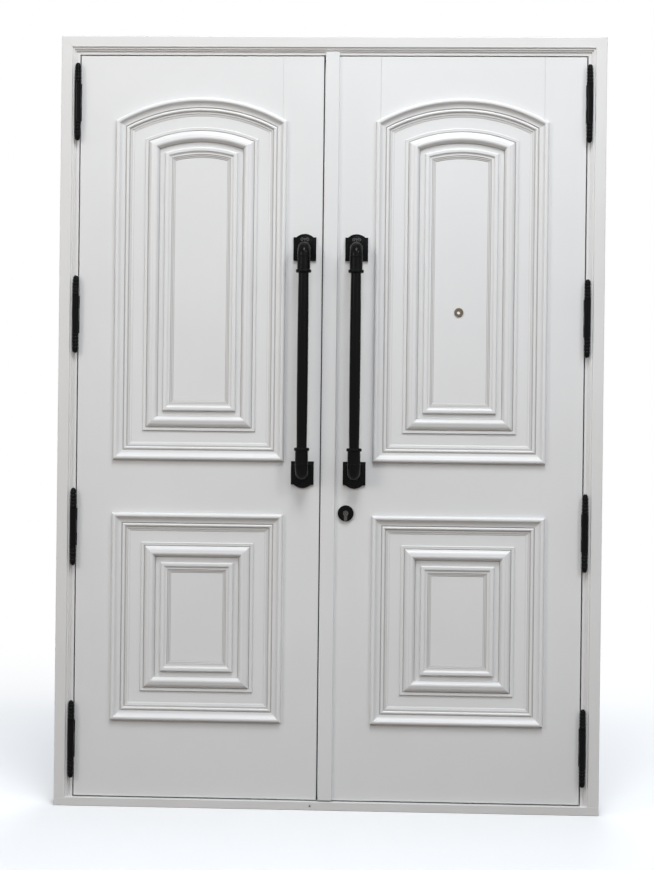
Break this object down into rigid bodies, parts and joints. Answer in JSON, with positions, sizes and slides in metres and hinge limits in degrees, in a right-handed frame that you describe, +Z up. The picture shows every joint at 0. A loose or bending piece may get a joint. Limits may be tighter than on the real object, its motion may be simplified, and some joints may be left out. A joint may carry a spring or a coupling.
{
  "type": "double entrance door",
  "caption": "Painted timber double entrance door in its frame, with arched and square panelled leaves, turned hinges, pull handles and a cylinder lock.",
  "frame": {"origin": "middle of the underside of the sill, in the middle of the frame's depth", "axes": "+Z up, +X to the right seen from outside, -Y towards the outside, where the handles are"},
  "size_m": [1.745, 0.1945, 2.475],
  "materials": {
    "door_paint": "satin white paint on timber",
    "frame_paint": "satin white paint on timber",
    "black_iron": "gloss black lacquer",
    "seal_rubber": "matt",
    "cylinder_nickel": "satin nickel",
    "lock_steel": "satin steel",
    "viewer_bronze": "dark bronze",
    "viewer_glass": "clear"
  },
  "bodies": {
    "frame": {"left_jamb": "frame_paint", "right_jamb": "frame_paint", "frame_head": "frame_paint", "sill": "frame_paint", "frame_seal": "seal_rubber", "left_hinge_frame_flaps": "black_iron", "right_hinge_frame_flaps": "black_iron", "left_hinge_pins": "black_iron", "right_hinge_pins": "black_iron"},
    "left_leaf": {"left_hinge_stile": "door_paint", "left_meeting_stile": "door_paint", "left_top_rail": "door_paint", "left_lock_rail": "door_paint", "left_bottom_rail": "door_paint", "left_upper_panel": "door_paint", "left_lower_panel": "door_paint", "left_upper_outer_moulding": "door_paint", "left_upper_middle_moulding": "door_paint", "left_upper_inner_moulding": "door_paint", "left_lower_outer_moulding": "door_paint", "left_lower_middle_moulding": "door_paint", "left_lower_inner_moulding": "door_paint", "left_hinge_leaf_flaps": "black_iron", "left_handle_bar": "black_iron", "left_handle_upper_bracket": "black_iron", "left_handle_lower_bracket": "black_iron", "left_handle_bolts": "black_iron", "flush_bolt_covers": "lock_steel", "strike_plate": "lock_steel"},
    "right_leaf": {"right_hinge_stile": "door_paint", "right_meeting_stile": "door_paint", "right_top_rail": "door_paint", "right_lock_rail": "door_paint", "right_bottom_rail": "door_paint", "right_upper_panel": "door_paint", "right_lower_panel": "door_paint", "right_upper_outer_moulding": "door_paint", "right_upper_middle_moulding": "door_paint", "right_upper_inner_moulding": "door_paint", "right_lower_outer_moulding": "door_paint", "right_lower_middle_moulding": "door_paint", "right_lower_inner_moulding": "door_paint", "right_hinge_leaf_flaps": "black_iron", "right_handle_bar": "black_iron", "right_handle_upper_bracket": "black_iron", "right_handle_lower_bracket": "black_iron", "right_handle_bolts": "black_iron", "meeting_strip": "door_paint", "lock_case": "lock_steel", "lock_cylinder": "cylinder_nickel", "outer_escutcheon": "black_iron", "inner_escutcheon": "black_iron", "viewer_barrel": "viewer_bronze", "viewer_sleeve": "viewer_bronze", "viewer_lens": "viewer_glass"},
    "key_plug": {"key_plug": "cylinder_nickel"},
    "thumb_turn": {"thumb_turn": "lock_steel"},
    "deadbolt": {"deadbolt": "lock_steel"},
    "top_flush_bolt": {"top_flush_bolt": "lock_steel"},
    "bottom_flush_bolt": {"bottom_flush_bolt": "lock_steel"}
  },
  "joints": [
    {"name": "left_leaf_swing", "type": "hinge", "parent": "frame", "child": "left_leaf", "pos_m": [-0.8185, -0.062, 0], "axis": [0, 0, -1], "range_deg": [0, 110]},
    {"name": "right_leaf_swing", "type": "hinge", "parent": "frame", "child": "right_leaf", "pos_m": [0.8185, -0.062, 0], "axis": [0, 0, 1], "range_deg": [0, 110]},
    {"name": "thumb_turn_turn", "type": "hinge", "parent": "right_leaf", "child": "thumb_turn", "pos_m": [0.0575, 0, 0.951], "axis": [0, 1, 0], "range_deg": [0, 360]},
    {"name": "key_plug_turn", "type": "hinge", "parent": "right_leaf", "child": "key_plug", "pos_m": [0.0575, -0.05, 0.951], "axis": [0, 1, 0], "range_deg": [0, 360]},
    {"name": "deadbolt_slide", "type": "slide", "parent": "right_leaf", "child": "deadbolt", "axis": [-1, 0, 0], "range_m": [0, 0.02]},
    {"name": "top_flush_bolt_slide", "type": "slide", "parent": "left_leaf", "child": "top_flush_bolt", "axis": [0, 0, 1], "range_m": [0, 0.018]},
    {"name": "bottom_flush_bolt_slide", "type": "slide", "parent": "left_leaf", "child": "bottom_flush_bolt", "axis": [0, 0, -1], "range_m": [0, 0.018]}
  ],
  "couplings": [
    {"joint": "key_plug_turn", "follows": "deadbolt_slide", "rad_per_m": 314.16},
    {"joint": "thumb_turn_turn", "follows": "deadbolt_slide", "rad_per_m": 314.16}
  ]
}
